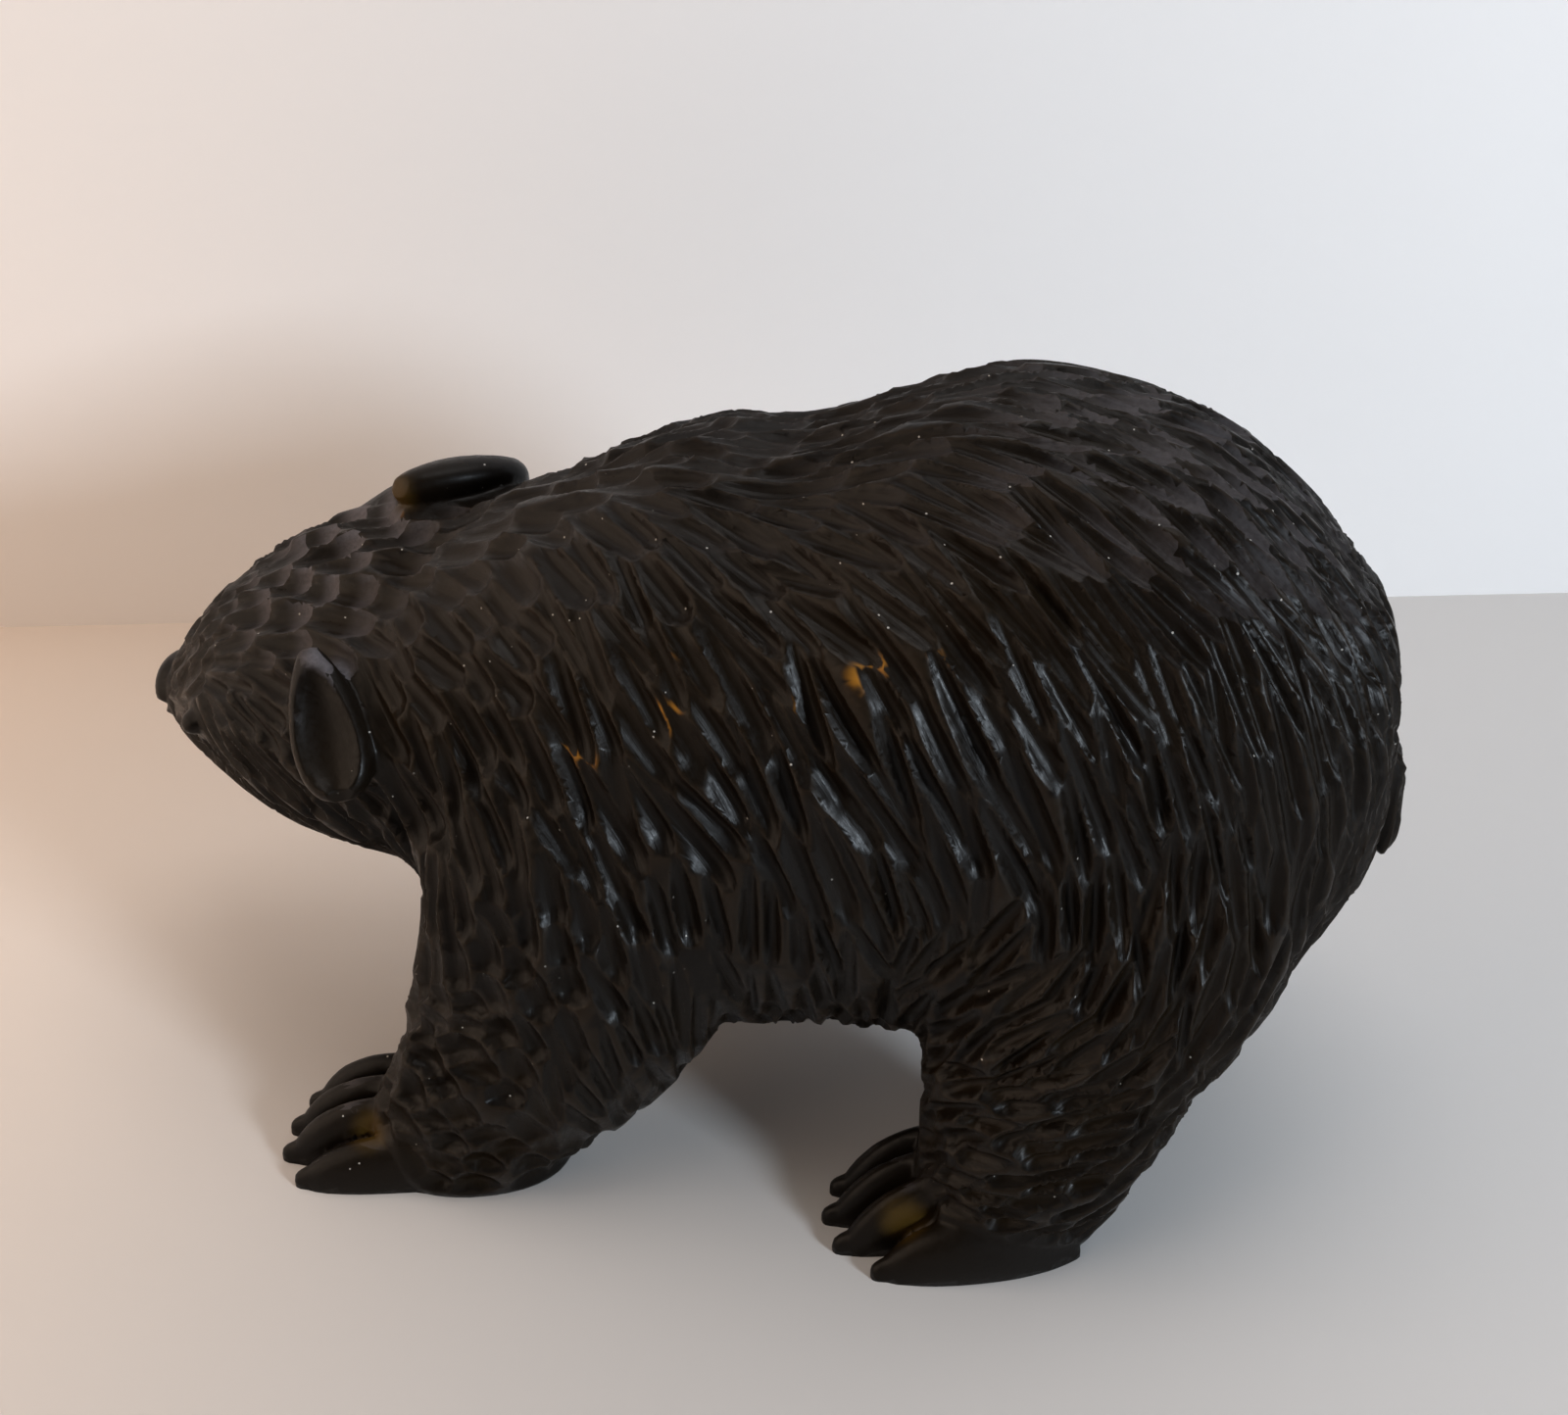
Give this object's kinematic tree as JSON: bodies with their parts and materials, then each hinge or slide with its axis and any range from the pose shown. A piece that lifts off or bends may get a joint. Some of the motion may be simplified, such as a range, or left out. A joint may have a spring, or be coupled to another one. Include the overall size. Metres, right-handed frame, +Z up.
{
  "type": "carved wooden bear figure",
  "caption": "Dark stained wooden bear carved in the round, walking on all fours with its head lowered, its coat cut all over with a gouge.",
  "frame": {"origin": "on the ground, under the middle of the bear's box", "axes": "+Z up; the bear faces -X; its left side is -Y"},
  "size_m": [0.1836, 0.0864, 0.1117],
  "materials": {
    "stained_wood": "near-black brown stain under a thin satin wax"
  },
  "bodies": {
    "root": {"carved_bear": "stained_wood"}
  },
  "joints": []
}
